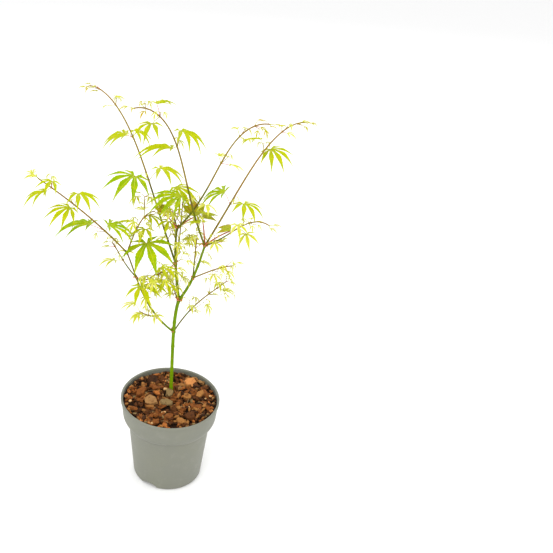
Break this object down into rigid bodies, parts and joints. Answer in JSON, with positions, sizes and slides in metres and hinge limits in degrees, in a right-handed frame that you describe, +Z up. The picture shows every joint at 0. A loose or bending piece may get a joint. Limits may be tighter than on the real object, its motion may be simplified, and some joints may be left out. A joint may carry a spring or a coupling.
{
  "type": "potted japanese maple",
  "caption": "Young Japanese maple in spring leaf, with a thin upright green trunk, arching shoots and lime palmate leaves, in a round grey nursery pot topped with bark mulch.",
  "frame": {"origin": "middle of the pot's flat underside, on the ground", "axes": "+Z up along the pot's axis, +X to the right and -Y towards the viewer of the plant's best side"},
  "size_m": [0.2638, 0.184, 0.4283],
  "materials": {
    "pot": "satin grey moulded plastic",
    "mulch": "rough bark chips",
    "stem": "smooth young green bark",
    "leaf": "soft matt leaf"
  },
  "bodies": {
    "root": {"pot": "pot", "bark_mulch": "mulch", "trunk": "stem", "left_bough": "stem", "leader": "stem", "right_bough": "stem", "far_left_spray": "leaf", "left_inner_spray": "leaf", "left_low_spray": "leaf", "left_under_spray": "leaf", "left_bottom_spray": "leaf", "fork_spray": "leaf", "top_left_spray": "leaf", "leader_twig_spray": "leaf", "top_right_spray": "leaf", "leader_tip_spray": "leaf", "top_middle_spray": "leaf", "far_right_spray": "leaf", "right_spray": "leaf", "right_low_spray": "leaf", "middle_spray": "leaf", "right_bottom_spray": "leaf"}
  },
  "joints": []
}
